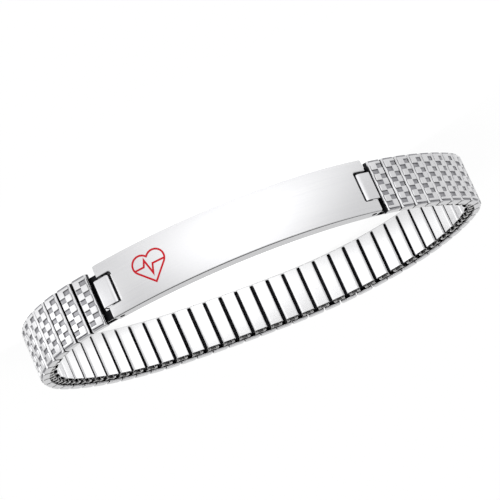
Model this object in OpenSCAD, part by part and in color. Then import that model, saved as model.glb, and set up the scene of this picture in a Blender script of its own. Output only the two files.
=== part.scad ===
// Medical alert bracelet: a curved identity plate on a steel expansion band.
// It lies on its side, so the wrist's axis is Z and the plate faces -Y.

/* [Identity plate] */
// Width of the plate across the wrist, the bracelet's height as it lies
plate_w = 9.5; // [9.4:0.1:11]
// Straight distance between the two ends of the plate's face
plate_chord = 47.8; // [47.2:0.2:48.2]
// Radius of the plate's outer face
plate_r = 47.9; // [47:0.1:48.4]
// Thickness in the middle of the plate
plate_mid_t = 3.2; // [2.9:0.05:3.3]
// Thickness at the two ends of the plate
plate_end_t = 2.2; // [2.1:0.05:2.3]
// How far the middle of the plate's face stands in front of the band's middle line
plate_stand = 3.5; // [3.3:0.05:3.6]
// Rounding of the edges round the face
plate_edge_r = 0.25; // [0.1:0.05:0.3]
// Depth of the notch in each end
notch_depth = 2.6; // [2.3:0.1:3]
// Width of the notch
notch_w = 5.3; // [5:0.1:5.6]

/* [Hinge] */
// Diameter of the pin holes through the plate's ears
pin_hole_d = 0.95; // [0.9:0.05:1]
// Diameter of the pins
pin_d = 0.85; // [0.7:0.05:0.85]
// Length of the pins, a little short of the plate's width
pin_len = 8.9; // [8:0.1:9.2]
// Distance of the pins from the ends of the plate
pin_in = 1.2; // [1.1:0.05:1.3]
// Depth of the pins below the plate's face
pin_down = 1.1; // [1.05:0.05:1.15]
// Outer diameter of the knuckle that turns on the pin
knuckle_d = 1.7; // [1.6:0.05:1.7]
// Width of the tongue
tongue_w = 4.8; // [4:0.1:4.9]
// Thickness of the tongue's strip
tongue_t = 0.65; // [0.5:0.05:0.7]
// How far the tongue reaches past the end of the plate
tongue_past = 1; // [0.9:0.05:1.1]

/* [Emblem] */
// Distance of the emblem from the middle of the plate, along the face
emblem_from_mid = 15.8; // [8:0.1:17]
// Radius of the heart's two lobes
heart_lobe_r = 1.7; // [1.6:0.05:1.75]
// Distance of each lobe's centre from the heart's middle
heart_lobe_x = 1.26; // [1.2:0.01:1.28]
// Width of the enamel lines
line_w = 0.3; // [0.24:0.02:0.3]
// Depth of the groove that holds the enamel
groove_depth = 0.3; // [0.25:0.05:0.4]

/* [Band] */
// Number of outer shells
shell_count = 50; // [49:1:51]
// Distance along the band's middle line from the plate's middle to the first shell
band_start = 25.4; // [25.2:0.1:25.8]
// Height of the shells' outer face above the middle line, relief included
shell_top = 1.54; // [1.5:0.02:1.7]
// Width of the shells across the wrist
shell_w = 9.3; // [9.2:0.1:9.4]
// Space between two shells
shell_gap = 0.2; // [0.15:0.01:0.25]
// Height of the relief's pads
pad_h = 0.22; // [0.15:0.01:0.25]
// Depth of the inner sleeves below the middle line
sleeve_depth = 1.7; // [1.6:0.05:1.75]
// Width of the inner sleeves across the wrist
sleeve_w = 8; // [7.8:0.1:8.04]
// Space between two sleeves, measured on the middle line
sleeve_gap = 0.6; // [0.56:0.01:0.75]

/* [Shape of the loop] */
// Radius of the band's middle line beside the plate
front_r = 51.6; // [51:0.1:52]
// Turn of that arc on the side of the emblem, in degrees
front_turn_left = 30.1; // [29.5:0.1:31]
// Turn of that arc on the other side, in degrees
front_turn_right = 52.7; // [52:0.1:53.5]
// Radius of the bend on the side of the emblem
left_r = 18.7; // [18.2:0.1:19.2]
// Turn of that bend, in degrees
left_turn = 95.4; // [94.5:0.1:96]
// Radius of the tighter bend on the other side
right_r = 10; // [9.6:0.1:10.4]
// Turn of that bend, in degrees
right_turn = 45.8; // [45:0.1:46.5]
// Radius of the back beside the left bend
left_back_r = 39; // [38:0.2:40]
// Radius of the back beside the right bend
right_back_r = 29; // [28.6:0.2:29.4]
// Radius of the flat stretch in the middle of the back
back_r = 129; // [120:1:140]

/* [Hidden] */
$fn = 64;
eps = 0.01;
over = 1; // how far a cutting shape runs past what it cuts

// Outward direction where the loop has turned by angle a since the middle of the plate
function out(a) = [sin(a), -cos(a)];

// Centres of the loop's arcs; each arc goes on from the last one without a kink.
front_c = [0, front_r];
left_c = front_c + (front_r - left_r) * out(front_turn_left);
left_end = front_turn_left + left_turn;
left_back_c = left_c + (left_r - left_back_r) * out(left_end);
right_c = front_c + (front_r - right_r) * out(-front_turn_right);
right_end = front_turn_right + right_turn;
right_back_c = right_c + (right_r - right_back_r) * out(-right_end);

// The flat back arc touches both of its neighbours, which gives its centre.
back_span = right_back_c - left_back_c;
back_reach_left = back_r - left_back_r;
back_reach_right = back_r - right_back_r;
back_along = (pow(back_reach_left, 2) - pow(back_reach_right, 2) + pow(norm(back_span), 2))
    / (2 * norm(back_span));
back_across = sqrt(pow(back_reach_left, 2) - pow(back_along, 2));
back_unit = back_span / norm(back_span);
back_c = left_back_c + back_along * back_unit + back_across * [-back_unit[1], back_unit[0]];
function turn_of(v) = (atan2(v[0], -v[1]) + 360) % 360;

// One row for each arc: centre, radius, turn at its start, turn at its end
ARCS = [
    [front_c, front_r, 0, front_turn_left],
    [left_c, left_r, front_turn_left, left_end],
    [left_back_c, left_back_r, left_end, turn_of(left_back_c - back_c)],
    [back_c, back_r, turn_of(left_back_c - back_c), turn_of(right_back_c - back_c)],
    [right_back_c, right_back_r, turn_of(right_back_c - back_c), 360 - right_end],
    [right_c, right_r, 360 - right_end, 360 - front_turn_right],
    [front_c, front_r, 360 - front_turn_right, 360]
];

function arc_len(i) = ARCS[i][1] * (ARCS[i][3] - ARCS[i][2]) * PI / 180;
function len_before(i) = i == 0 ? 0 : len_before(i - 1) + arc_len(i - 1);
function arc_at(s, i = 0) = i == len(ARCS) - 1 || s <= len_before(i + 1) ? i : arc_at(s, i + 1);
function turn_at(s) =
    let (i = arc_at(s)) ARCS[i][2] + (s - len_before(i)) / ARCS[i][1] * 180 / PI;
function point_at(s) = let (i = arc_at(s)) ARCS[i][0] + ARCS[i][1] * out(turn_at(s));

loop_len = len_before(len(ARCS));
pitch = (loop_len - 2 * band_start) / shell_count;

// Plate
plate_c = [0, plate_r - plate_stand];
plate_end_a = asin(plate_chord / 2 / plate_r);
plate_in_x = (plate_r - plate_end_t) * sin(plate_end_a);
plate_in_y = plate_c[1] - (plate_r - plate_end_t) * cos(plate_end_a);
plate_in_rise = plate_in_y - (plate_mid_t - plate_stand);
plate_in_r = (pow(plate_in_x, 2) + pow(plate_in_rise, 2)) / (2 * plate_in_rise);
plate_in_c = [0, plate_mid_t - plate_stand + plate_in_r];
notch_corner_r = 0.3;
face_corner = 0.4;
plate_room = 8; // deeper than the whole plate

// Shells: a hollow cap whose inner wall is open at both ends for the links
shell_len = pitch - shell_gap;
shell_base = shell_top - pad_h;
shell_under = 0.1;
shell_wall = 0.18;
shell_end_wall = 0.25;
shell_shoulder_r = 0.45;
shell_end_r = 0.35;
shell_foot_r = 0.1;
link_window = 0.55;

// Relief: two columns of pads on each shell, half a step apart
pad_step = 1.96;
pad_valley = 0.6;
pad_rows = 4;
pad_first_valley = 2.2;
pad_from = 0.1;
pad_to = shell_len / 2 - 0.24;
pad_rim = 0.28;

// Sleeves: open tubes, rounded towards the wrist
sleeve_len = pitch - sleeve_gap;
sleeve_top = 0.05;
sleeve_wall = 0.18;
sleeve_round_r = 0.4;
sleeve_back_r = 0.15;
sleeve_hollow_r = 0.05;

// Links: flat closed loops, one leg in a shell and one in the sleeve beside it
link_w = 0.5;
link_play = 0.045;
link_from_mid = (pitch - sleeve_len + link_w) / 2 + sleeve_wall + link_play;
link_strip = 0.24;
link_out = 0.75;
link_in = 0.8;
link_end_play = 0.08;
link_len = sleeve_w + 2 * (link_end_play + link_strip);

// Heart: its tip, and the slope of its two straight sides from the tip
heart_lobe_y = 0.95;
heart_tip_y = -2.85;
heart_reach = norm([heart_lobe_x, heart_lobe_y - heart_tip_y]);
heart_side_a = atan2(heart_lobe_x, heart_lobe_y - heart_tip_y) + asin(heart_lobe_r / heart_reach);
pulse_h = 0.4;
PULSE = [[-2.7, 0], [-1.05, 0], [-0.6, 1.05], [0.05, -1.5], [0.55, 0], [2.7, 0]];
enamel_gap = 0.02;

// The enamel's flat top stays just inside the curved face, also at the heart's two sides.
face_fall = plate_r - sqrt(pow(plate_r, 2) - pow(heart_lobe_x + heart_lobe_r, 2));
enamel_t = groove_depth - face_fall - 2 * enamel_gap;

// The bracelet is centred on its outer box; a shell is widest at its pads' corners.
shell_edge = [for (k = [0 : shell_count - 1], x = [-1, -0.5, 0, 0.5, 1])
    let (s = band_start + (k + 0.5) * pitch, a = turn_at(s))
        point_at(s) + shell_top * out(a) + x * pad_to * [cos(a), sin(a)]];
mid_x = (max([for (p = shell_edge) p[0]]) + min([for (p = shell_edge) p[0]])) / 2;
mid_y = (max([for (p = shell_edge) p[1]]) - plate_stand) / 2;

// Puts the loop's own plan in the bracelet's frame, with z = 0 in the middle of the band
module in_frame() {
    translate([-mid_x, -mid_y, plate_w / 2]) children();
}

// Puts a piece on the middle line at distance s, with its +Y outward
module on_band(s) {
    translate(concat(point_at(s), 0)) rotate([0, 0, turn_at(s) + 180]) children();
}

// Puts a piece at an end of the plate's face: +X leaves the plate and +Y is outward
module at_plate_end(side) {
    mirror([side > 0 ? 1 : 0, 0, 0])
        translate(concat(plate_c + plate_r * out(-plate_end_a), 0))
            rotate([0, 0, 180 - plate_end_a]) children();
}

module plate_plan() {
    difference() {
        intersection() {
            translate(plate_c) circle(r = plate_r, $fn = 360);
            translate(plate_c) polygon([
                [0, 0],
                2 * plate_r * out(-plate_end_a),
                3 * plate_r * out(0),
                2 * plate_r * out(plate_end_a)
            ]);
        }
        translate(plate_in_c) circle(r = plate_in_r, $fn = 360);
    }
}

// Keeps what lies inside the face's rounded edges
module plate_round_edges() {
    translate(concat(plate_c, 0)) rotate_extrude($fn = 360) {
        translate([plate_r - plate_room, -plate_w / 2])
            square([plate_room - plate_edge_r, plate_w]);
        translate([plate_r - plate_room, -plate_w / 2 + plate_edge_r])
            square([plate_room, plate_w - 2 * plate_edge_r]);
        for (z = [-1, 1])
            translate([plate_r - plate_edge_r, z * (plate_w / 2 - plate_edge_r)]) circle(r = plate_edge_r);
    }
}

module notch_outline() {
    translate([-notch_depth, -notch_w / 2 + notch_corner_r])
        square([notch_depth + over, notch_w - 2 * notch_corner_r]);
    translate([-notch_depth + notch_corner_r, -notch_w / 2]) square([notch_depth + over, notch_w]);
    for (z = [-1, 1])
        translate([-notch_depth + notch_corner_r, z * (notch_w / 2 - notch_corner_r)])
            circle(r = notch_corner_r);
}

// What a blunted corner of the face loses
module corner_outline() {
    polygon([
        [-face_corner - over, plate_w / 2 + over],
        [over, plate_w / 2 - face_corner - over],
        [over, plate_w / 2 + over]
    ]);
}

module plate_end_cuts() {
    rotate([90, 0, 0]) linear_extrude(plate_room, center = true) {
        notch_outline();
        corner_outline();
        mirror([0, 1]) corner_outline();
    }
    translate([-pin_in, -pin_down, 0]) cylinder(h = plate_w + over, d = pin_hole_d, center = true);
}

module heart(lobe_r, tip_y) {
    for (side = [-1, 1])
        translate([side * heart_lobe_x, heart_lobe_y]) circle(r = lobe_r);
    tangent = [heart_lobe_x + lobe_r * cos(heart_side_a), heart_lobe_y - lobe_r * sin(heart_side_a)];
    polygon([
        [0, tip_y], tangent, [heart_lobe_x, heart_lobe_y], [-heart_lobe_x, heart_lobe_y],
        [-tangent[0], tangent[1]]
    ]);
}

module line_between(p, q, w) {
    v = q - p;
    translate(p) rotate(atan2(v[1], v[0])) translate([0, -w / 2]) square([norm(v), w]);
    translate(p) circle(d = w);
    translate(q) circle(d = w);
}

// A heart's outline with a pulse trace across it, lines w wide
module emblem_outline(w) {
    grow = (w - line_w) / 2;
    difference() {
        heart(heart_lobe_r + grow, heart_tip_y - grow / sin(heart_side_a));
        heart(heart_lobe_r - line_w - grow, heart_tip_y + (line_w + grow) / sin(heart_side_a));
    }
    intersection() {
        translate([0, pulse_h]) for (i = [0 : len(PULSE) - 2])
            line_between(PULSE[i], PULSE[i + 1], w);
        heart(heart_lobe_r - line_w / 2, heart_tip_y + line_w / 2 / sin(heart_side_a));
    }
}

// The emblem's lines as a solid that starts below the face and stands up towards it. It is
// upright for a reader who holds the bracelet's top edge down.
module emblem_prism(w, start_depth, height) {
    translate(concat(plate_c, 0))
        rotate([0, 0, emblem_from_mid / plate_r * 180 / PI])
            translate([0, -plate_r + start_depth, 0])
                rotate([90, 0, 0]) linear_extrude(height) rotate(180) emblem_outline(w);
}

module id_plate() {
    color("gainsboro") in_frame() difference() {
        intersection() {
            linear_extrude(plate_w, center = true) plate_plan();
            plate_round_edges();
        }
        for (side = [-1, 1]) at_plate_end(side) plate_end_cuts();
        emblem_prism(line_w + 2 * enamel_gap, groove_depth, groove_depth + over);
    }
}

module emblem_enamel() {
    color("crimson") in_frame() emblem_prism(line_w, groove_depth - enamel_gap, enamel_t);
}

module pin(side) {
    color("silver") in_frame() at_plate_end(side)
        translate([-pin_in, -pin_down, 0]) cylinder(h = pin_len, d = pin_d, center = true);
}

// Side view of the tongue: knuckle, strip, and foot that is soldered on the end sleeve
module tongue_outline() {
    top = -pin_down + knuckle_d / 2;
    bend_r = 0.4;
    foot_bottom = -2.75;
    foot_len = tongue_t + 0.75;
    foot_t = 0.42;
    difference() {
        union() {
            translate([-pin_in, -pin_down]) circle(d = knuckle_d);
            translate([-pin_in, top - tongue_t]) square([pin_in + tongue_past - bend_r, tongue_t]);
            translate([tongue_past - bend_r, top - bend_r]) circle(r = bend_r);
            translate([tongue_past - tongue_t, foot_bottom])
                square([tongue_t, top - bend_r - foot_bottom]);
            translate([tongue_past - tongue_t, foot_bottom]) square([foot_len, foot_t]);
        }
        translate([-pin_in, -pin_down]) circle(d = pin_hole_d);
    }
}

module end_link(side) {
    color("lightgray") in_frame() {
        at_plate_end(side) linear_extrude(tongue_w, center = true) tongue_outline();
        mirror([side > 0 ? 1 : 0, 0, 0]) on_band(loop_len - band_start) sleeve();
    }
}

// Block x long from y0 to y1, its corners at y1 rounded by r1 and those at y0 by r0
module rounded_block(x, y0, y1, r1, r0) {
    translate([-x / 2, y0 + r0]) square([x, y1 - y0 - r0 - r1]);
    translate([-x / 2 + r1, y1 - r1 - eps]) square([x - 2 * r1, r1 + eps]);
    translate([-x / 2 + r0, y0]) square([x - 2 * r0, r0 + eps]);
    for (side = [-1, 1]) {
        translate([side * (x / 2 - r1), y1 - r1]) circle(r = r1);
        translate([side * (x / 2 - r0), y0 + r0]) circle(r = r0);
    }
}

// Pads on the +X half of a shell, counted from its lower end
module pad_column() {
    end = shell_w / 2 - pad_rim;
    for (i = [0 : pad_rows]) {
        z0 = i == 0 ? -end : -shell_w / 2 + pad_first_valley + (i - 1) * pad_step + pad_valley / 2;
        z1 = i == pad_rows ? end : -shell_w / 2 + pad_first_valley + i * pad_step - pad_valley / 2;
        translate([pad_from, shell_base - pad_h, z0])
            cube([pad_to - pad_from, 2 * pad_h, z1 - z0]);
    }
}

module shell() {
    hollow_len = shell_len - 2 * shell_wall;
    hollow_w = shell_w - 2 * shell_end_wall;
    difference() {
        union() {
            intersection() {
                linear_extrude(shell_w, center = true)
                    rounded_block(shell_len, shell_under, shell_base, shell_shoulder_r, shell_foot_r);
                rotate([0, 90, 0]) linear_extrude(shell_len + over, center = true)
                    rounded_block(shell_w, shell_under, shell_base, shell_end_r, shell_foot_r);
            }
            mirror([1, 0, 0]) pad_column();
            mirror([0, 0, 1]) pad_column();
        }
        translate([-hollow_len / 2, shell_under + shell_wall, -hollow_w / 2])
            cube([hollow_len, shell_base - shell_under - 2 * shell_wall, hollow_w]);
        for (end = [-1, 1])
            translate([-hollow_len / 2, -over, (end * (hollow_w - link_window) - link_window) / 2])
                cube([hollow_len, over + shell_under + 2 * shell_wall, link_window]);
    }
}

module sleeve() {
    linear_extrude(sleeve_w, center = true) difference() {
        rounded_block(sleeve_len, -sleeve_depth, -sleeve_top, sleeve_back_r, sleeve_round_r);
        rounded_block(
            sleeve_len - 2 * sleeve_wall, -sleeve_depth + sleeve_wall, -sleeve_top - sleeve_wall,
            sleeve_hollow_r, sleeve_round_r - sleeve_wall
        );
    }
}

module link() {
    height = link_out + link_in;
    translate([0, (link_out - link_in) / 2, 0]) difference() {
        cube([link_w, height, link_len], center = true);
        cube([link_w + over, height - 2 * link_strip, link_len - 2 * link_strip], center = true);
    }
}

module outer_shells() {
    color("gainsboro") in_frame() for (k = [0 : shell_count - 1])
        on_band(band_start + (k + 0.5) * pitch) shell();
}

module inner_sleeves() {
    color("whitesmoke") in_frame() for (k = [1 : shell_count - 1])
        on_band(band_start + k * pitch) sleeve();
}

module connector_links() {
    color("darkgray") in_frame() for (k = [0 : shell_count - 1], side = [-1, 1])
        on_band(band_start + (k + 0.5) * pitch + side * link_from_mid) link();
}

id_plate();
emblem_enamel();
pin(1);  // pin_left
pin(-1);  // pin_right
end_link(1);  // end_link_left
end_link(-1);  // end_link_right
outer_shells();
inner_sleeves();
connector_links();
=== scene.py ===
import math
import random

import bmesh
import bpy
from mathutils import Matrix, Vector


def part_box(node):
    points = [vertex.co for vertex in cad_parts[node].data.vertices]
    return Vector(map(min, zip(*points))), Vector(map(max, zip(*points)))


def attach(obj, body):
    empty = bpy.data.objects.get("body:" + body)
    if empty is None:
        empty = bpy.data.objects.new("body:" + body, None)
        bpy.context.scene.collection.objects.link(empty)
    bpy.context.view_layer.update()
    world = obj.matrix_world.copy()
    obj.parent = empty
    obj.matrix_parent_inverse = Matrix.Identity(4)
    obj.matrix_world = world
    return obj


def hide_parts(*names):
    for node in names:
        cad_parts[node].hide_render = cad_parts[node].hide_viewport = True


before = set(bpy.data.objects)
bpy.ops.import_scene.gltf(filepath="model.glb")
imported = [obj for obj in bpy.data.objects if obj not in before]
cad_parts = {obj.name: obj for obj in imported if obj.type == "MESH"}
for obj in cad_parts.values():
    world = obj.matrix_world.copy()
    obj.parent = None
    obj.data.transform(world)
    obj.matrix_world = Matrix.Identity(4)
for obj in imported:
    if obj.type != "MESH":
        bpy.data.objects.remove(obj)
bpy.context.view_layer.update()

# Identity plate. A curved bar of stainless steel, thickest in the middle, with a notch between
# two drilled ears at each end. It is stamped to its arc and brushed along its length until it
# is almost polished.
MM = 0.001
PLATE_W = 9.5
PLATE_R = 47.9
PLATE_MID_T = 3.2
PLATE_END_T = 2.2
PLATE_EDGE_R = 0.22
PLATE_BACK_R = 0.15
PLATE_STRIPS = 44
NOTCH_DEPTH = 2.6
NOTCH_W = 5.3
NOTCH_CORNER_R = 0.3
FACE_CORNER_R = 0.35
PIN_IN = 1.2
PIN_DOWN = 1.1
PIN_HOLE_R = 0.475
# How far beyond the notches' bottoms, towards the middle, the painted shade on the plate's walls
# starts.
WALL_SHADE_PAST = 0.01
# Two measures in millimetres that differ by less than this are the same.
NEAR = 1e-4
# Faces that meet at more than this show a sharp edge.
CREASE = math.radians(40)
# A face looks straight along an axis if its normal's share of that axis is past this.
SQUARE = 0.99

plate_low, plate_high = [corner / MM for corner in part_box("id_plate")]
plate_front = Vector((
    (plate_low.x + plate_high.x) / 2, plate_low.y, (plate_low.z + plate_high.z) / 2,
))
plate_centre = plate_front + Vector((0, PLATE_R, 0))
plate_end_a = math.asin((plate_high.x - plate_low.x) / 2 / PLATE_R)
plate_half = PLATE_R * plate_end_a


def linear(code):
    """An sRGB hex colour as linear RGBA."""
    channels = [int(code[i:i + 2], 16) / 255 for i in (1, 3, 5)]
    return [c / 12.92 if c <= 0.04045 else ((c + 0.055) / 1.055) ** 2.4 for c in channels] + [1]


def add(tree, kind, sockets, **settings):
    """Adds a node. A socket's value is a number, a colour, or the output that feeds it."""
    made = tree.nodes.new(kind)
    for name, value in settings.items():
        setattr(made, name, value)
    for name, value in sockets.items():
        if isinstance(value, bpy.types.NodeSocket):
            tree.links.new(value, made.inputs[name])
        else:
            made.inputs[name].default_value = value
    return made


def new_finish(name):
    """A material with an empty tree, and that tree."""
    material = bpy.data.materials.new(name)
    material.use_nodes = True
    material.node_tree.nodes.clear()
    return material, material.node_tree


def outward(angle):
    """Direction away from the loop where it has turned by this angle since the plate's middle."""
    return Vector((math.sin(angle), -math.cos(angle), 0))


def bend_to_plate(bm):
    """Bends what was made flat (X along the face, Y down into it, Z across) to the plate's arc."""
    for vert in bm.verts:
        along, down, across = vert.co
        on_arc = plate_centre + outward(along / PLATE_R) * (PLATE_R - down)
        vert.co = on_arc + Vector((0, 0, across))


def everything(bm):
    """All of the mesh, as an operator takes it."""
    return bm.verts[:] + bm.edges[:] + bm.faces[:]


def new_verts(geom):
    """The vertices in what an operator gives back."""
    return [g for g in geom if isinstance(g, bmesh.types.BMVert)]


def lies_at(element, axis, at):
    """Whether an edge or a face lies wholly at this place along an axis."""
    return all(abs(getattr(vert.co, axis) - at) < NEAR for vert in element.verts)


def soften(bm, edges, offset, segments):
    """Rounds these edges."""
    return bmesh.ops.bevel(
        bm, geom=edges, affect="EDGES", offset=offset, offset_type="OFFSET", segments=segments,
        profile=0.5, material=-1, clamp_overlap=True,
    )


def make_piece(bm, name, finishes, nodes):
    """Turns millimetres to metres, gives the mesh its finish, shading and body, and hides the CAD
    nodes that it replaces.
    """
    bmesh.ops.scale(bm, vec=Vector((MM, MM, MM)), verts=bm.verts)
    for face in bm.faces:
        face.smooth = True
    for edge in bm.edges:
        edge.smooth = not (edge.is_manifold and edge.calc_face_angle() > CREASE)
    mesh = bpy.data.meshes.new(name)
    bm.to_mesh(mesh)
    bm.free()
    for finish in finishes:
        mesh.materials.append(finish)
    piece = bpy.data.objects.new(name, mesh)
    bpy.context.scene.collection.objects.link(piece)
    shading = piece.modifiers.new("even_shading", "WEIGHTED_NORMAL")
    shading.keep_sharp = True
    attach(piece, "root")
    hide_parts(*nodes)


# Most of a noise's values lie in this range, which a Map Range node stretches to another.
NOISE_RANGE = {"From Min": 0.3, "From Max": 0.7}


def brushed_plate():
    # Stainless steel, brushed with a fine belt and then buffed: bright, with lines along the
    # length. The real lines are 0.03 mm apart; 0.16 mm is the finest that still shows.
    line_apart, line_long, smear = 0.16 * MM, 14 * MM, 9 * MM
    material, tree = new_finish("brushed_stainless_plate")
    coords = add(tree, "ShaderNodeTexCoord", {})
    stretched = add(tree, "ShaderNodeMapping", {
        "Vector": coords.outputs["Object"],
        "Scale": (1 / line_long, 1 / line_long, 1 / line_apart),
    })
    lines = add(tree, "ShaderNodeTexNoise", {
        "Vector": stretched.outputs["Vector"], "Scale": 1.0, "Detail": 3.0, "Roughness": 0.55,
    })
    smears = add(tree, "ShaderNodeTexNoise", {
        "Vector": coords.outputs["Object"], "Scale": 1 / smear, "Detail": 2.0,
    })
    line_gloss = add(tree, "ShaderNodeMapRange", {
        "Value": lines.outputs["Fac"], **NOISE_RANGE, "To Min": 0.2, "To Max": 0.26,
    })
    smear_gloss = add(tree, "ShaderNodeMapRange", {
        "Value": smears.outputs["Fac"], **NOISE_RANGE, "To Min": -0.015, "To Max": 0.02,
    })
    roughness = add(tree, "ShaderNodeMath", {
        0: line_gloss.outputs[0], 1: smear_gloss.outputs[0],
    }, operation="ADD")
    tint = add(tree, "ShaderNodeMapRange", {
        "Value": lines.outputs["Fac"], **NOISE_RANGE, "To Min": 0.0, "To Max": 1.0,
    })
    colour = add(tree, "ShaderNodeMix", {
        0: tint.outputs[0], 6: linear("#cacacc"), 7: linear("#d0d0d1"),
    }, data_type="RGBA")
    bump = add(tree, "ShaderNodeBump", {
        "Height": lines.outputs["Fac"], "Strength": 0.06, "Distance": 0.01 * MM,
    })
    shader = add(tree, "ShaderNodeBsdfPrincipled", {
        "Base Color": colour.outputs[2], "Metallic": 1.0, "Roughness": roughness.outputs[0],
        "Normal": bump.outputs["Normal"],
    })
    add(tree, "ShaderNodeOutputMaterial", {"Surface": shader.outputs[0]})
    return material


def shaded_end_wall():
    # The milled walls of the notches and the plate's ends: grey-black with a random mottle, which
    # is painted shade for the dark notches, pin holes and gaps beside them.
    material, tree = new_finish("steel_wall_painted_shade")
    coords = add(tree, "ShaderNodeTexCoord", {})
    wall_mottle = add(tree, "ShaderNodeTexNoise", {
        "Vector": coords.outputs["Object"], "Scale": 1 / (0.5 * MM), "Detail": 3.0,
    })
    colour = add(tree, "ShaderNodeMix", {
        0: wall_mottle.outputs["Fac"], 6: linear("#1d1d1f"), 7: linear("#3f3f42"),
    }, data_type="RGBA")
    shader = add(tree, "ShaderNodeBsdfPrincipled", {
        "Base Color": colour.outputs[2], "Metallic": 1.0, "Roughness": 0.5,
    })
    add(tree, "ShaderNodeOutputMaterial", {"Surface": shader.outputs[0]})
    return material


def plate_outline(bm):
    """The face as one flat polygon, its corners and the notches' corners rounded."""
    ear, side = NOTCH_W / 2, PLATE_W / 2
    right = [
        (plate_half, side), (plate_half, ear), (plate_half - NOTCH_DEPTH, ear),
        (plate_half - NOTCH_DEPTH, -ear), (plate_half, -ear), (plate_half, -side),
    ]
    left = [(-x, -z) for x, z in right]
    verts = [bm.verts.new((x, 0, z)) for x, z in right + left]
    bm.faces.new(verts)
    corners = [v for v in verts if abs(v.co.z) == side]
    notch_corners = [v for v in verts if abs(abs(v.co.x) - (plate_half - NOTCH_DEPTH)) < NEAR]
    for chosen, radius in ((corners, FACE_CORNER_R), (notch_corners, NOTCH_CORNER_R)):
        bmesh.ops.bevel(
            bm, geom=chosen, affect="VERTICES", offset=radius, offset_type="OFFSET", segments=5,
            profile=0.5, material=-1,
        )


def drilled(bm):
    """Cuts the two hinge pins' holes across the whole flat plate."""
    cutter = bmesh.new()
    for side in (-1, 1):
        place = Matrix.Translation((side * (plate_half - PIN_IN), PIN_DOWN, 0))
        bmesh.ops.create_cone(
            cutter, cap_ends=True, segments=32, radius1=PIN_HOLE_R, radius2=PIN_HOLE_R,
            depth=PLATE_W + 1, matrix=place,
        )
    blanks = []
    for source in (bm, cutter):
        mesh = bpy.data.meshes.new("blank")
        source.to_mesh(mesh)
        source.free()
        blanks.append(bpy.data.objects.new("blank", mesh))
        bpy.context.scene.collection.objects.link(blanks[-1])
    cut = blanks[0].modifiers.new("pin_holes", "BOOLEAN")
    cut.operation = "DIFFERENCE"
    cut.solver = "EXACT"
    cut.object = blanks[1]
    result = bmesh.new()
    result.from_object(blanks[0], bpy.context.evaluated_depsgraph_get())
    for blank in blanks:
        bpy.data.meshes.remove(blank.data)
    return result


plate = bmesh.new()
plate_outline(plate)
thick = bmesh.ops.extrude_face_region(plate, geom=plate.faces[:])
bmesh.ops.translate(plate, vec=(0, PLATE_MID_T, 0), verts=new_verts(thick["geom"]))
bmesh.ops.recalc_face_normals(plate, faces=plate.faces)
soften(plate, [e for e in plate.edges if lies_at(e, "y", 0)], PLATE_EDGE_R, segments=3)
soften(plate, [e for e in plate.edges if lies_at(e, "y", PLATE_MID_T)], PLATE_BACK_R, segments=2)
plate = drilled(plate)
for i in range(1, PLATE_STRIPS):
    cut_at = (plate_half * (2 * i / PLATE_STRIPS - 1), 0, 0)
    bmesh.ops.bisect_plane(plate, geom=everything(plate), plane_co=cut_at, plane_no=(1, 0, 0))
# Painted shade: the upright walls at the plate's ends, in the notches and in the pin holes get the
# near-black wall finish, all but the bright rim faces.
for face in plate.faces:
    middle = face.calc_center_median()
    at_end = abs(middle.x) > plate_half - NOTCH_DEPTH - WALL_SHADE_PAST
    on_long_side = abs(middle.z) > PLATE_W / 2 - PLATE_EDGE_R
    upright = abs(face.normal.y) < 0.5
    in_pin_hole = abs(middle.y - PIN_DOWN) < PIN_HOLE_R
    on_bright_rim = 0 < abs(face.normal.z) <= 0.1
    if at_end and upright and not on_long_side and (in_pin_hole or not on_bright_rim):
        face.material_index = 1
for vert in plate.verts:
    if vert.co.y > PLATE_MID_T / 2:
        vert.co.y -= (PLATE_MID_T - PLATE_END_T) * (vert.co.x / plate_half) ** 2
bend_to_plate(plate)
make_piece(plate, "plate", [brushed_plate(), shaded_end_wall()], ["id_plate"])

# Emblem. A heart's outline with a pulse trace across it, etched in the face and filled with
# fired red enamel, which stands a hair above the steel. It reads upright with the band's top
# edge held down.
EMBLEM_FROM_MID = 15.8
LOBE_R = 1.7
LOBE_X = 1.26
LOBE_Y = 0.95
LOBE_STEPS = 22
TIP_Y = -2.85
LINE_W = 0.32
# Corners of the pulse trace, across and up from the heart's middle.
PULSE = [(-2.7, 0.4), (-1.05, 0.4), (-0.6, 1.45), (0.05, -1.1), (0.55, 0.4), (2.7, 0.4)]
ENAMEL_PROUD = 0.02
ENAMEL_DEEP = 0.15


def heart_points():
    """Corner points of the heart, each lobe an arc from the straight side to the cleft."""
    reach = math.hypot(LOBE_X, LOBE_Y - TIP_Y)
    side_a = math.atan2(LOBE_X, LOBE_Y - TIP_Y) + math.asin(LOBE_R / reach)
    cleft_a = math.acos(-LOBE_X / LOBE_R)
    arc = [-side_a + (cleft_a + side_a) * i / LOBE_STEPS for i in range(LOBE_STEPS + 1)]
    right = [(LOBE_X + LOBE_R * math.cos(a), LOBE_Y + LOBE_R * math.sin(a)) for a in arc]
    left = [(-x, y) for x, y in reversed(right[:-1])]
    return [(0, TIP_Y)] + right + left


def mitred_trace():
    """For each corner of the pulse trace, the two ends of the cut across its line."""
    points = [Vector(point) for point in PULSE]
    steps = [(onward - point).normalized() for point, onward in zip(points, points[1:])]
    cuts = []
    for here, before, after in zip(points, steps[:1] + steps, steps + steps[-1:]):
        across = (before.orthogonal() + after.orthogonal()).normalized()
        half = LINE_W / 2 / across.dot(before.orthogonal())
        cuts.append((here + across * half, here - across * half))
    return cuts


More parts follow.
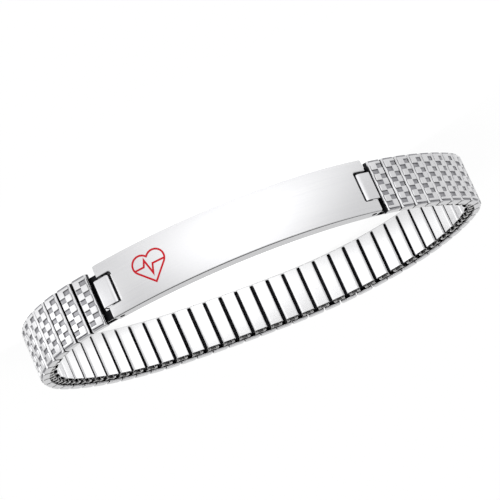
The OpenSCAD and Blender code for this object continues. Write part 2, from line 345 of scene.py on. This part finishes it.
def red_enamel():
    # Fired glass enamel: opaque deep red under a clear glassy skin, with a faint cloudiness.
    material, tree = new_finish("fired_red_enamel")
    coords = add(tree, "ShaderNodeTexCoord", {})
    cloud = add(tree, "ShaderNodeTexNoise", {
        "Vector": coords.outputs["Object"], "Scale": 1 / (0.5 * MM), "Detail": 3.0,
    })
    colour = add(tree, "ShaderNodeMix", {
        0: cloud.outputs["Fac"], 6: linear("#b80018"), 7: linear("#cc0820"),
    }, data_type="RGBA")
    shader = add(tree, "ShaderNodeBsdfPrincipled", {
        "Base Color": colour.outputs[2], "Roughness": 0.25, "IOR": 1.52, "Specular IOR Level": 0.2,
    })
    add(tree, "ShaderNodeOutputMaterial", {"Surface": shader.outputs[0]})
    return material


emblem = bmesh.new()
emblem.faces.new([emblem.verts.new((x, 0, y)) for x, y in heart_points()])
emblem.normal_update()
bmesh.ops.inset_region(
    emblem, faces=emblem.faces[:], thickness=LINE_W, use_even_offset=True, use_boundary=True,
)
bmesh.ops.delete(emblem, geom=[max(emblem.faces, key=lambda f: len(f.verts))], context="FACES")
bmesh.ops.recalc_face_normals(emblem, faces=emblem.faces)

first_cut, *other_cuts = mitred_trace()
nib = emblem.edges.new([emblem.verts.new((end.x, 0, end.y)) for end in first_cut])
for cut in other_cuts:
    drawn = bmesh.ops.extrude_edge_only(emblem, edges=[nib])["geom"]
    nib = next(g for g in drawn if isinstance(g, bmesh.types.BMEdge))
    upper, lower = sorted(nib.verts, key=lambda v: -v.co.xz.dot(cut[0] - cut[1]))
    upper.co, lower.co = [(end.x, 0, end.y) for end in cut]
flat = emblem.faces[:]
for face in flat:
    if face.normal.y > 0:
        face.normal_flip()
raised = bmesh.ops.extrude_face_region(emblem, geom=flat, use_keep_orig=True)
for vert in new_verts(raised["geom"]):
    vert.co.y = -ENAMEL_PROUD - ENAMEL_DEEP
bmesh.ops.translate(emblem, vec=(0, ENAMEL_DEEP, 0), verts=emblem.verts)
bmesh.ops.recalc_face_normals(emblem, faces=emblem.faces)
for vert in emblem.verts:
    vert.co.x, vert.co.z = EMBLEM_FROM_MID - vert.co.x, -vert.co.z
bend_to_plate(emblem)
make_piece(emblem, "emblem", [red_enamel()], ["emblem_enamel"])

# Hinge pins. Short lengths of hard steel wire pressed through the plate's ears, a little
# recessed, their ends rounded over.
PIN_R = 0.425
PIN_LEN = 8.9
PIN_END_R = 0.12


def drawn_wire():
    # Cold-drawn stainless wire: grey, with a satin skin.
    material, tree = new_finish("drawn_stainless_wire")
    coords = add(tree, "ShaderNodeTexCoord", {})
    grain = add(tree, "ShaderNodeTexNoise", {
        "Vector": coords.outputs["Object"], "Scale": 1 / (0.3 * MM), "Detail": 3.0,
    })
    roughness = add(tree, "ShaderNodeMapRange", {
        "Value": grain.outputs["Fac"], **NOISE_RANGE, "To Min": 0.3, "To Max": 0.42,
    })
    shader = add(tree, "ShaderNodeBsdfPrincipled", {
        "Base Color": linear("#8c8c8e"), "Metallic": 1.0, "Roughness": roughness.outputs[0],
    })
    add(tree, "ShaderNodeOutputMaterial", {"Surface": shader.outputs[0]})
    return material


wire = drawn_wire()
for name, side in (("left", 1), ("right", -1)):
    pin = bmesh.new()
    end_a = side * plate_end_a
    tangent = Vector((math.cos(end_a), math.sin(end_a), 0))
    place = plate_centre + outward(end_a) * (PLATE_R - PIN_DOWN) - side * tangent * PIN_IN
    bmesh.ops.create_cone(
        pin, cap_ends=True, segments=24, radius1=PIN_R, radius2=PIN_R, depth=PIN_LEN,
        matrix=Matrix.Translation(place),
    )
    for z in (place.z - PIN_LEN / 2, place.z + PIN_LEN / 2):
        soften(pin, [e for e in pin.edges if lies_at(e, "z", z)], PIN_END_R, segments=3)
    make_piece(pin, "hinge_pin_" + name, [wire], ["pin_" + name])

# Outer shells. Short hollow boxes folded from thin stainless sheet, which is pressed first, so
# that two columns of low pads stand on each, half a step apart. The band's middle line is a run
# of arcs that go on from each other without a kink.
PLATE_STAND = 3.5
FRONT_R = 51.6
FRONT_TURN_LEFT = math.radians(30.1)
FRONT_TURN_RIGHT = math.radians(52.7)
LEFT_R = 18.7
LEFT_TURN = math.radians(95.4)
RIGHT_R = 10
RIGHT_TURN = math.radians(45.8)
LEFT_BACK_R = 39
RIGHT_BACK_R = 29
BACK_R = 129
BAND_START = 25.4
SHELL_COUNT = 50
SHELL_GAP = 0.2
SHELL_W = 9.3
SHELL_TOP = 1.54
SHELL_UNDER = 0.1
PAD_H = 0.22
SHOULDER_R = 0.45
SHELL_END_R = 0.35
SHELL_FOOT_R = 0.1
WINDOW_W = 0.55
WALL = 0.18
END_WALL = 0.25
# A face is on a shell's flank, its flat top or a pad's flank if its normal's share of X, Y or Z
# is past this.
SHELL_FLANK = 0.93
SHELL_FLAT = 0.97
PAD_FLANK = 0.3
VALLEY_COUNT = 4
VALLEY_STEP = 1.96
VALLEY_W = 0.6
FIRST_VALLEY = 2.2
PAD_EDGE = 0.24
PAD_RIM = 0.28
PAD_ROUND = 0.2
# The most that a shell is turned along the band and across it, in degrees.
SHELL_TILT = 0.9
SHELL_LEAN = 0.25

loop_start = plate_front + Vector((0, PLATE_STAND, 0))


def loop_arcs():
    """Centre, radius, and turn at the start and the end of each arc of the middle line."""
    front = loop_start + Vector((0, FRONT_R, 0))
    left = front + (FRONT_R - LEFT_R) * outward(FRONT_TURN_LEFT)
    left_end = FRONT_TURN_LEFT + LEFT_TURN
    left_back = left + (LEFT_R - LEFT_BACK_R) * outward(left_end)
    right = front + (FRONT_R - RIGHT_R) * outward(-FRONT_TURN_RIGHT)
    right_end = FRONT_TURN_RIGHT + RIGHT_TURN
    right_back = right + (RIGHT_R - RIGHT_BACK_R) * outward(-right_end)
    span = right_back - left_back
    reach_left, reach_right = BACK_R - LEFT_BACK_R, BACK_R - RIGHT_BACK_R
    along = (reach_left ** 2 - reach_right ** 2 + span.length ** 2) / (2 * span.length)
    across = math.sqrt(reach_left ** 2 - along ** 2)
    unit = span.normalized()
    back = left_back + along * unit + across * Vector((-unit.y, unit.x, 0))
    turns = [math.atan2(v.x, -v.y) % math.tau for v in (left_back - back, right_back - back)]
    return [
        (front, FRONT_R, 0, FRONT_TURN_LEFT),
        (left, LEFT_R, FRONT_TURN_LEFT, left_end),
        (left_back, LEFT_BACK_R, left_end, turns[0]),
        (back, BACK_R, turns[0], turns[1]),
        (right_back, RIGHT_BACK_R, turns[1], math.tau - right_end),
        (right, RIGHT_R, math.tau - right_end, math.tau - FRONT_TURN_RIGHT),
        (front, FRONT_R, math.tau - FRONT_TURN_RIGHT, math.tau),
    ]


arcs = loop_arcs()
loop_len = sum(radius * (end - start) for centre, radius, start, end in arcs)
pitch = (loop_len - 2 * BAND_START) / SHELL_COUNT
shell_len = pitch - SHELL_GAP
shell_base = SHELL_TOP - PAD_H


def on_band(s):
    """Where a part sits at distance s along the middle line: its +Y outward, its -X onward."""
    for centre, radius, start, end in arcs:
        length = radius * (end - start)
        if s <= length + NEAR:
            turn = start + s / radius
            facing = Matrix.Rotation(turn + math.pi, 4, "Z")
            return Matrix.Translation(centre + radius * outward(turn)) @ facing
        s -= length


def add_copy(bm, unit, place):
    """Adds a copy of the unit mesh at this place."""
    there = set(bm.verts)
    bm.from_mesh(unit)
    bmesh.ops.transform(bm, matrix=place, verts=[v for v in bm.verts if v not in there])


def repeated(unit, places):
    """One bmesh with a copy of the unit mesh at every place."""
    bm = bmesh.new()
    for place in places:
        add_copy(bm, unit, place)
    return bm


def unit_mesh(bm, name):
    """The finished bmesh as a mesh, to copy from or to show."""
    mesh = bpy.data.meshes.new(name)
    bm.to_mesh(mesh)
    bm.free()
    return mesh


def block(bm, low, high):
    """A box between two corners, of which it gives the vertices."""
    sized = Matrix.Diagonal(Vector(high) - Vector(low)).to_4x4()
    placed = Matrix.Translation((Vector(high) + Vector(low)) / 2) @ sized
    return bmesh.ops.create_cube(bm, size=1, matrix=placed)["verts"]


rattle = random.Random(11)


def shaken(most, axis):
    """A small random turn about an axis, this many degrees at most either way."""
    return Matrix.Rotation(math.radians(rattle.uniform(-most, most)), 4, axis)


def polished_shell():
    # Pressed stainless steel, tumbled bright after folding: soft reflections, slightly uneven,
    # with fine rub marks that run across the band.
    rub_apart, rub_long, cloud = 0.18 * MM, 2.5 * MM, 1.6 * MM
    material, tree = new_finish("tumbled_stainless_shell")
    coords = add(tree, "ShaderNodeTexCoord", {})
    stretched = add(tree, "ShaderNodeMapping", {
        "Vector": coords.outputs["Object"],
        "Scale": (1 / rub_apart, 1 / rub_apart, 1 / rub_long),
    })
    rubs = add(tree, "ShaderNodeTexNoise", {
        "Vector": stretched.outputs["Vector"], "Scale": 1.0, "Detail": 2.0,
    })
    clouds = add(tree, "ShaderNodeTexNoise", {
        "Vector": coords.outputs["Object"], "Scale": 1 / cloud, "Detail": 3.0, "Roughness": 0.6,
    })
    roughness = add(tree, "ShaderNodeMapRange", {
        "Value": clouds.outputs["Fac"], **NOISE_RANGE, "To Min": 0.14, "To Max": 0.26,
    })
    colour = add(tree, "ShaderNodeMix", {
        0: clouds.outputs["Fac"], 6: linear("#c9c9cb"), 7: linear("#dcdcdd"),
    }, data_type="RGBA")
    bump = add(tree, "ShaderNodeBump", {
        "Height": rubs.outputs["Fac"], "Strength": 0.1, "Distance": 0.01 * MM,
    })
    shader = add(tree, "ShaderNodeBsdfPrincipled", {
        "Base Color": colour.outputs[2], "Metallic": 1.0, "Roughness": roughness.outputs[0],
        "Normal": bump.outputs["Normal"],
    })
    add(tree, "ShaderNodeOutputMaterial", {"Surface": shader.outputs[0]})
    return material


def shaded_relief_hollow():
    # The floor of the pressed relief and the pads' flanks: the same steel, matt and mid grey with a
    # random mottle, which is painted shade in the relief's hollows.
    material, tree = new_finish("pressed_steel_painted_shade")
    coords = add(tree, "ShaderNodeTexCoord", {})
    mottle = add(tree, "ShaderNodeTexNoise", {
        "Vector": coords.outputs["Object"], "Scale": 1 / (0.6 * MM), "Detail": 3.0,
    })
    colour = add(tree, "ShaderNodeMix", {
        0: mottle.outputs["Fac"], 6: linear("#7a7a7e"), 7: linear("#a8a8ab"),
    }, data_type="RGBA")
    shader = add(tree, "ShaderNodeBsdfPrincipled", {
        "Base Color": colour.outputs[2], "Metallic": 1.0, "Roughness": 0.3,
    })
    add(tree, "ShaderNodeOutputMaterial", {"Surface": shader.outputs[0]})
    return material


def shaded_inside():
    # Inside and sides of the folded sheet, near black with a random mottle: painted shade in the
    # hollows and in the gaps between the parts.
    material, tree = new_finish("steel_painted_shade_dark")
    coords = add(tree, "ShaderNodeTexCoord", {})
    shade_mottle = add(tree, "ShaderNodeTexNoise", {
        "Vector": coords.outputs["Object"], "Scale": 1 / (0.8 * MM), "Detail": 3.0,
    })
    colour = add(tree, "ShaderNodeMix", {
        0: shade_mottle.outputs["Fac"], 6: linear("#18181a"), 7: linear("#303033"),
    }, data_type="RGBA")
    shader = add(tree, "ShaderNodeBsdfPrincipled", {
        "Base Color": colour.outputs[2], "Metallic": 1.0, "Roughness": 0.5,
    })
    add(tree, "ShaderNodeOutputMaterial", {"Surface": shader.outputs[0]})
    return material


# Finishes of a shell: bright steel, painted shade in the relief's hollows, and near-black painted
# shade inside and on the flanks.
SHINE, SHADED_HOLLOW, SHADED_INSIDE = range(3)


def shell_outside(bm, half_l, half_w):
    """The folded box from outside, with rounded shoulders, ends and foot."""
    block(bm, (-half_l, SHELL_UNDER, -half_w), (half_l, shell_base, half_w))
    shoulders = [
        e for e in bm.edges if lies_at(e, "y", shell_base)
        and abs(e.verts[0].co.x - e.verts[1].co.x) < NEAR
    ]
    soften(bm, shoulders, SHOULDER_R, segments=5)
    ends = [
        e for e in bm.edges if (lies_at(e, "z", half_w) or lies_at(e, "z", -half_w))
        and min(v.co.y for v in e.verts) > SHELL_UNDER + NEAR
    ]
    soften(bm, ends, SHELL_END_R, segments=4)
    soften(bm, [e for e in bm.edges if lies_at(e, "y", SHELL_UNDER)], SHELL_FOOT_R, segments=2)


def shell_body(bm):
    """The folded hollow box, with a window in the sheet under it at each end."""
    half_l, half_w = shell_len / 2, SHELL_W / 2
    shell_outside(bm, half_l, half_w)
    window_l, window_out = half_l - WALL, half_w - END_WALL
    window_in = window_out - WINDOW_W
    floor, ceiling = SHELL_UNDER + WALL, shell_base - WALL
    block(bm, (-window_l, floor, -window_out), (window_l, ceiling, window_out))

    def sheet_under():
        return [
            f for f in bm.faces
            if f.normal.y < -SQUARE and f.calc_center_median().y < floor + NEAR
        ]

    cuts = [("z", side * edge) for side in (-1, 1) for edge in (window_out, window_in)]
    cuts += [("x", side * window_l) for side in (-1, 1)]
    for axis, at in cuts:
        normal = Vector((axis == "x", 0, axis == "z"))
        under = sheet_under()
        rims = dict.fromkeys(g for f in under for g in [*f.verts, *f.edges])
        bmesh.ops.bisect_plane(
            bm, geom=[*rims, *under], dist=NEAR, plane_co=normal * at, plane_no=normal,
        )
    windows = [
        f for f in sheet_under() if abs(f.calc_center_median().x) < window_l
        and window_in < abs(f.calc_center_median().z) < window_out
    ]
    bmesh.ops.delete(bm, geom=windows, context="FACES_ONLY")
    for side in (-1, 1):
        rims = [e for e in bm.edges if e.is_boundary and side * e.verts[0].co.z > 0]
        bmesh.ops.bridge_loops(bm, edges=rims)
    bmesh.ops.recalc_face_normals(bm, faces=bm.faces)
    # Painted shade: the underside, the flanks and the hollow get the near-black inside finish; the
    # lips past the windows stay bright.
    for face in bm.faces:
        middle = face.calc_center_median()
        past_window = abs(middle.z) > window_out + NEAR
        in_hollow = (
            abs(middle.x) < window_l + NEAR and not past_window
            and SHELL_UNDER < middle.y < ceiling + NEAR
        )
        on_flank = abs(face.normal.x) > SHELL_FLANK
        end_lip = past_window and not on_flank
        if not end_lip and (face.normal.y < -0.5 or on_flank or in_hollow):
            face.material_index = SHADED_INSIDE
        # Painted shade: the shell's flat top between the pads gets the grey hollow finish.
        elif face.normal.y > SHELL_FLAT:
            face.material_index = SHADED_HOLLOW


def shell_pads(bm):
    """Two columns of pads; the second is the first turned over, so the valleys stagger."""
    end = SHELL_W / 2 - PAD_RIM
    valleys = [-SHELL_W / 2 + FIRST_VALLEY + i * VALLEY_STEP for i in range(VALLEY_COUNT)]
    lows = [-end] + [valley + VALLEY_W / 2 for valley in valleys]
    highs = [valley - VALLEY_W / 2 for valley in valleys] + [end]
    for side in (-1, 1):
        x = sorted((0, side * (shell_len / 2 - PAD_EDGE)))
        for low, high in zip(lows, highs):
            z = sorted((-side * low, -side * high))
            verts = block(bm, (x[0], shell_base - WALL / 2, z[0]), (x[1], SHELL_TOP, z[1]))
            top = [v for v in verts if v.co.y > SHELL_TOP - NEAR]
            rim = dict.fromkeys(e for v in top for e in v.link_edges if not lies_at(e, "x", 0))
            for face in soften(bm, list(rim), PAD_ROUND, segments=4)["faces"]:
                # Painted shade: the pads' flanks across the band get the grey hollow finish.
                if abs(face.normal.z) > PAD_FLANK:
                    face.material_index = SHADED_HOLLOW


shell = bmesh.new()
shell_body(shell)
shell_pads(shell)
bmesh.ops.recalc_face_normals(shell, faces=shell.faces)
shell_unit = unit_mesh(shell, "shell_unit")
shell_places = [
    on_band(BAND_START + (k + 0.5) * pitch) @ shaken(SHELL_TILT, "Z") @ shaken(SHELL_LEAN, "X")
    for k in range(SHELL_COUNT)
]
shade_finish = shaded_inside()
make_piece(
    repeated(shell_unit, shell_places), "band_shells",
    [polished_shell(), shaded_relief_hollow(), shade_finish], ["outer_shells"],
)

# Inner sleeves. Open tubes rolled from thin stainless strip, flat towards the wrist with
# rounded sides, polished so that they slide on the skin. They sit half a pitch out of step.
SLEEVE_GAP = 0.6
SLEEVE_W = 8
SLEEVE_DEPTH = 1.7
SLEEVE_TOP = 0.05
SLEEVE_ROUND_R = 0.4
SLEEVE_BACK_R = 0.15
SLEEVE_TILT = 0.7

sleeve_len = pitch - SLEEVE_GAP


def polished_sleeve():
    # Rolled stainless strip, polished bright, with faint rub marks along the band.
    rub_apart, rub_long = 0.2 * MM, 1.4 * MM
    material, tree = new_finish("polished_stainless_sleeve")
    coords = add(tree, "ShaderNodeTexCoord", {})
    stretched = add(tree, "ShaderNodeMapping", {
        "Vector": coords.outputs["Object"],
        "Scale": (1 / rub_long, 1 / rub_long, 1 / rub_apart),
    })
    rubs = add(tree, "ShaderNodeTexNoise", {
        "Vector": stretched.outputs["Vector"], "Scale": 1.0, "Detail": 3.0,
    })
    roughness = add(tree, "ShaderNodeMapRange", {
        "Value": rubs.outputs["Fac"], **NOISE_RANGE, "To Min": 0.16, "To Max": 0.24,
    })
    colour = add(tree, "ShaderNodeMix", {
        0: rubs.outputs["Fac"], 6: linear("#e0e0e1"), 7: linear("#e8e8e9"),
    }, data_type="RGBA")
    shader = add(tree, "ShaderNodeBsdfPrincipled", {
        "Base Color": colour.outputs[2], "Metallic": 1.0, "Roughness": roughness.outputs[0],
    })
    add(tree, "ShaderNodeOutputMaterial", {"Surface": shader.outputs[0]})
    return material


sleeve = bmesh.new()
sleeve_low = (-sleeve_len / 2, -SLEEVE_DEPTH, -SLEEVE_W / 2)
block(sleeve, sleeve_low, (sleeve_len / 2, -SLEEVE_TOP, SLEEVE_W / 2))
caps = [f for f in sleeve.faces if abs(f.normal.z) > SQUARE]
bmesh.ops.delete(sleeve, geom=caps, context="FACES_ONLY")
for y, radius, segments in ((-SLEEVE_DEPTH, SLEEVE_ROUND_R, 6), (-SLEEVE_TOP, SLEEVE_BACK_R, 3)):
    corners = [e for e in sleeve.edges if lies_at(e, "y", y) and e.calc_length() > SLEEVE_W - NEAR]
    soften(sleeve, corners, radius, segments)
bmesh.ops.recalc_face_normals(sleeve, faces=sleeve.faces)
bmesh.ops.solidify(sleeve, geom=sleeve.faces[:], thickness=WALL)
bmesh.ops.recalc_face_normals(sleeve, faces=sleeve.faces)
hub = Vector((0, -(SLEEVE_DEPTH + SLEEVE_TOP) / 2, 0))
# Painted shade: the sleeve's inside and its back towards the shell get the near-black inside
# finish.
for face in sleeve.faces:
    middle = face.calc_center_median()
    middle.z = 0
    looks_in = face.normal.dot(middle - hub) < -0.1
    at_back = face.normal.y > 0.5
    face.material_index = 1 if looks_in or at_back else 0
sleeve_unit = unit_mesh(sleeve, "sleeve_unit")
sleeve_places = [
    on_band(BAND_START + k * pitch) @ shaken(SLEEVE_TILT, "Z") for k in range(1, SHELL_COUNT)
]
make_piece(
    repeated(sleeve_unit, sleeve_places), "band_sleeves",
    [polished_sleeve(), shade_finish], ["inner_sleeves"],
)

# End links. A strip of steel is rolled round the hinge pin, runs out of the notch, bends down
# past the plate's end, and its foot is soldered to the first inner sleeve.
KNUCKLE_R = 0.85
SHEET_T = 0.375
TONGUE_W = 4.8
TONGUE_PAST = 1.0
BEND_R = 0.4
FOOT_BOTTOM = -2.75
FOOT_LEN = 1.4
CURL = math.radians(300)
CURL_STEPS = 20
BEND_STEPS = 5
STRIP_EDGE_R = 0.07


def rolled_strip():
    # Rolled stainless strip with a bright skin, a little duller than the plate.
    material, tree = new_finish("rolled_stainless_tongue")
    coords = add(tree, "ShaderNodeTexCoord", {})
    grain = add(tree, "ShaderNodeTexNoise", {
        "Vector": coords.outputs["Object"], "Scale": 1 / (0.9 * MM), "Detail": 3.0,
    })
    roughness = add(tree, "ShaderNodeMapRange", {
        "Value": grain.outputs["Fac"], **NOISE_RANGE, "To Min": 0.18, "To Max": 0.28,
    })
    shader = add(tree, "ShaderNodeBsdfPrincipled", {
        "Base Color": linear("#cfcfd1"), "Metallic": 1.0, "Roughness": roughness.outputs[0],
    })
    add(tree, "ShaderNodeOutputMaterial", {"Surface": shader.outputs[0]})
    return material


def go_on(bm, edge, step):
    """Extrudes the strip's end edge by a step, and gives the new end edge."""
    made = bmesh.ops.extrude_edge_only(bm, edges=[edge])["geom"]
    bmesh.ops.translate(bm, vec=step, verts=new_verts(made))
    return next(g for g in made if isinstance(g, bmesh.types.BMEdge))


def go_round(bm, edge, centre, angle, steps):
    """Spins the strip's end edge round a centre, and gives the new end edge."""
    made = bmesh.ops.spin(
        bm, geom=[edge, *edge.verts], cent=centre, axis=(0, 0, 1), angle=angle, steps=steps,
        use_merge=False,
    )["geom_last"]
    return next(g for g in made if isinstance(g, bmesh.types.BMEdge))


strip = rolled_strip()
for name, side in (("left", 1), ("right", -1)):
    tongue = bmesh.new()
    top = -PIN_DOWN + KNUCKLE_R
    start = tongue.edges.new([tongue.verts.new((-PIN_IN, y, 0)) for y in (top, top - SHEET_T)])
    go_round(tongue, start, (-PIN_IN, -PIN_DOWN, 0), CURL, CURL_STEPS)
    end = go_on(tongue, start, (PIN_IN + TONGUE_PAST - BEND_R, 0, 0))
    upper_bend = (TONGUE_PAST - BEND_R, top - BEND_R, 0)
    end = go_round(tongue, end, upper_bend, -math.pi / 2, BEND_STEPS)
    end = go_on(tongue, end, (0, FOOT_BOTTOM + BEND_R - (top - BEND_R), 0))
    lower_bend = (TONGUE_PAST + BEND_R - SHEET_T, FOOT_BOTTOM + BEND_R, 0)
    end = go_round(tongue, end, lower_bend, math.pi / 2, BEND_STEPS)
    go_on(tongue, end, (FOOT_LEN - BEND_R - SHEET_T, 0, 0))
    wide = bmesh.ops.extrude_face_region(tongue, geom=tongue.faces[:])["geom"]
    bmesh.ops.translate(tongue, vec=(0, 0, TONGUE_W), verts=new_verts(wide))
    bmesh.ops.translate(tongue, vec=(0, 0, -TONGUE_W / 2), verts=tongue.verts)
    bmesh.ops.recalc_face_normals(tongue, faces=tongue.faces)
    sides = [
        e for e in tongue.edges if e.calc_face_angle() > 1
        and (lies_at(e, "z", TONGUE_W / 2) or lies_at(e, "z", -TONGUE_W / 2))
    ]
    soften(tongue, sides, STRIP_EDGE_R, segments=2)
    turn_over = Matrix.Rotation(math.pi - plate_end_a, 4, "Z")
    to_end = Matrix.Translation(PLATE_R * outward(-plate_end_a)) @ turn_over
    bmesh.ops.transform(tongue, matrix=to_end, verts=tongue.verts)
    if side > 0:
        bmesh.ops.scale(tongue, vec=(-1, 1, 1), verts=tongue.verts)
    bmesh.ops.translate(tongue, vec=plate_centre, verts=tongue.verts)
    bmesh.ops.recalc_face_normals(tongue, faces=tongue.faces)
    # The foot's sleeve brings its painted shade inside and at its back.
    add_copy(tongue, sleeve_unit, on_band(BAND_START if side > 0 else loop_len - BAND_START))
    make_piece(
        tongue, "end_link_piece_" + name, [strip, shade_finish], ["end_link_" + name],
    )

# Connector links. Flat closed loops of spring steel strip, one leg in a shell and one in the
# sleeve beside it, two to a shell. Between them the two ends of each sleeve's spring leaf show.
LINK_W = 0.5
LINK_STRIP = 0.24
LINK_OUT = 0.75
LINK_IN = 0.8
LINK_PLAY = 0.045
LINK_END_PLAY = 0.08
LINK_EDGE_R = 0.04
LEAF_HALF = 0.5
LEAF_T = 0.1
LEAF_Y = -0.27
LEAF_FROM = 3.4
LEAF_TO = 4.3
LEAF_EDGE_R = 0.03
link_from_mid = (pitch - sleeve_len + LINK_W) / 2 + WALL + LINK_PLAY
link_half = SLEEVE_W / 2 + LINK_END_PLAY + LINK_STRIP


def spring_strip():
    # Hardened spring steel strip: plain grey with a faint straw film from tempering.
    material, tree = new_finish("hardened_spring_steel")
    coords = add(tree, "ShaderNodeTexCoord", {})
    mottle = add(tree, "ShaderNodeTexNoise", {
        "Vector": coords.outputs["Object"], "Scale": 1 / (1.2 * MM), "Detail": 2.0,
    })
    colour = add(tree, "ShaderNodeMix", {
        0: mottle.outputs["Fac"], 6: linear("#cfcfd0"), 7: linear("#dad9d7"),
    }, data_type="RGBA")
    shader = add(tree, "ShaderNodeBsdfPrincipled", {
        "Base Color": colour.outputs[2], "Metallic": 1.0, "Roughness": 0.32,
    })
    add(tree, "ShaderNodeOutputMaterial", {"Surface": shader.outputs[0]})
    return material


link = bmesh.new()
corners = [
    (LINK_OUT, -link_half), (LINK_OUT, link_half), (-LINK_IN, link_half), (-LINK_IN, -link_half),
]
link.faces.new([link.verts.new((-LINK_W / 2, y, z)) for y, z in corners])
link.normal_update()
bmesh.ops.inset_region(
    link, faces=link.faces[:], thickness=LINK_STRIP, use_even_offset=True, use_boundary=True,
)
opening = [f for f in link.faces if max(abs(v.co.z) for v in f.verts) < link_half - NEAR]
bmesh.ops.delete(link, geom=opening, context="FACES")
wide = bmesh.ops.extrude_face_region(link, geom=link.faces[:])["geom"]
bmesh.ops.translate(link, vec=(LINK_W, 0, 0), verts=new_verts(wide))
bmesh.ops.recalc_face_normals(link, faces=link.faces)
soften(link, [e for e in link.edges if e.calc_face_angle() > 1], LINK_EDGE_R, segments=1)
link_unit = unit_mesh(link, "link_unit")
link_places = [
    on_band(BAND_START + (k + 0.5) * pitch + side * link_from_mid)
    for k in range(SHELL_COUNT) for side in (-1, 1)
]
leaf = bmesh.new()
for side in (-1, 1):
    z = sorted((side * LEAF_FROM, side * LEAF_TO))
    block(leaf, (-LEAF_HALF, LEAF_Y - LEAF_T, z[0]), (LEAF_HALF, LEAF_Y, z[1]))
soften(leaf, leaf.edges[:], LEAF_EDGE_R, segments=1)
leaf_unit = unit_mesh(leaf, "leaf_unit")
links = repeated(link_unit, link_places)
for k in range(1, SHELL_COUNT):
    add_copy(links, leaf_unit, on_band(BAND_START + k * pitch))
make_piece(links, "band_links", [spring_strip()], ["connector_links"])
for unit in (shell_unit, sleeve_unit, link_unit, leaf_unit):
    bpy.data.meshes.remove(unit)

# Studio. The bracelet lies on a white lit table in a white tent with a dark opening above, and
# the camera looks along the photograph's line, turned almost upside down as the photograph is.
TABLE_HALF = 2.5
# Lamps under the table: the middle and the radius of each spot in millimetres, and its power.
LAMPS = [((0, -50), 48, 1.05), ((60, -22), 34, 1.2), ((0, 8), 28, 0.8)]
TABLE_GLOW = 0.9
CAMERA_TARGET = Vector((-0.22, -3.32, 2.21)) * MM
CAMERA_AZIMUTH = math.radians(9.38)
CAMERA_ELEVATION = math.radians(14.82)
CAMERA_TURN = math.radians(24.33)
CAMERA_FAR = 543.5 * MM
FOCAL_PX = 3220
PHOTO_PX = 500
SENSOR_MM = 36


def glow_spot(tree, spot, centre, radius):
    """One in the middle of a round spot on the table, falling smoothly to zero at its rim."""
    placed = add(tree, "ShaderNodeMapping", {
        "Vector": spot, "Location": [-c / radius for c in centre] + [0],
        "Scale": [1 / (radius * MM)] * 3,
    })
    fall = add(tree, "ShaderNodeTexGradient", {
        "Vector": placed.outputs[0],
    }, gradient_type="SPHERICAL")
    smooth = add(tree, "ShaderNodeMapRange", {
        "Value": fall.outputs["Fac"],
    }, interpolation_type="SMOOTHSTEP")
    return smooth.outputs[0]


def lit_table():
    # Opal acrylic on a light box, with a lamp under it in front of the plate, one at the emblem's
    # side and one inside the loop. All is white to the camera, and only the steel, which mirrors
    # it, shows where it is brighter.
    material, tree = new_finish("lit_opal_table")
    coords = add(tree, "ShaderNodeTexCoord", {})
    strength = TABLE_GLOW
    for centre, radius, power in LAMPS:
        spot = glow_spot(tree, coords.outputs["Object"], centre, radius)
        lamp = add(tree, "ShaderNodeMath", {
            0: spot, 1: power, 2: strength,
        }, operation="MULTIPLY_ADD")
        strength = lamp.outputs[0]
    diffuse = add(tree, "ShaderNodeBsdfDiffuse", {"Color": linear("#7c7c7c")})
    glow = add(tree, "ShaderNodeEmission", {"Color": linear("#ffffff"), "Strength": strength})
    both = add(tree, "ShaderNodeAddShader", {0: diffuse.outputs[0], 1: glow.outputs[0]})
    add(tree, "ShaderNodeOutputMaterial", {"Surface": both.outputs[0]})
    return material


ground = bmesh.new()
bmesh.ops.create_grid(ground, x_segments=1, y_segments=1, size=TABLE_HALF)
table_mesh = unit_mesh(ground, "table")
table_mesh.materials.append(lit_table())
table = bpy.data.objects.new("table", table_mesh)
bpy.context.scene.collection.objects.link(table)

world = bpy.data.worlds.new("studio_sky")
bpy.context.scene.world = world
world.use_nodes = True
sky = world.node_tree
sky.nodes.clear()
direction = add(sky, "ShaderNodeTexCoord", {})
height = add(sky, "ShaderNodeSeparateXYZ", {"Vector": direction.outputs["Generated"]})
side_light = add(sky, "ShaderNodeMapRange", {
    "Value": height.outputs["Z"], "From Min": 0.2, "From Max": 0.6, "To Min": 0.85, "To Max": 1.0,
})
roof = add(sky, "ShaderNodeMapRange", {
    "Value": height.outputs["Z"], "From Min": 0.55, "From Max": 0.85, "To Min": 1.0, "To Max": 0.08,
}, interpolation_type="SMOOTHSTEP")
brightness = add(sky, "ShaderNodeMath", {
    0: side_light.outputs[0], 1: roof.outputs[0],
}, operation="MULTIPLY")
background = add(sky, "ShaderNodeBackground", {
    "Color": linear("#ffffff"), "Strength": brightness.outputs[0],
})
add(sky, "ShaderNodeOutputWorld", {"Surface": background.outputs[0]})

right = Vector((math.cos(CAMERA_AZIMUTH), math.sin(CAMERA_AZIMUTH), 0))
level = Vector((-math.sin(CAMERA_AZIMUTH), math.cos(CAMERA_AZIMUTH), 0))
ahead = level * math.cos(CAMERA_ELEVATION) - Vector((0, 0, math.sin(CAMERA_ELEVATION)))
up = level * math.sin(CAMERA_ELEVATION) + Vector((0, 0, math.cos(CAMERA_ELEVATION)))
picture_up = -(math.sin(CAMERA_TURN) * right + math.cos(CAMERA_TURN) * up)
picture_right = -math.cos(CAMERA_TURN) * right + math.sin(CAMERA_TURN) * up
camera_data = bpy.data.cameras.new("photo_camera")
camera_data.sensor_width = SENSOR_MM
camera_data.lens = FOCAL_PX / PHOTO_PX * camera_data.sensor_width
camera_data.clip_end = 10
camera = bpy.data.objects.new("photo_camera", camera_data)
bpy.context.scene.collection.objects.link(camera)
turned = Matrix((picture_right, picture_up, -ahead)).transposed().to_4x4()
camera.matrix_world = Matrix.Translation(CAMERA_TARGET - ahead * CAMERA_FAR) @ turned
bpy.context.scene.camera = camera
bpy.context.scene.view_settings.view_transform = "Standard"
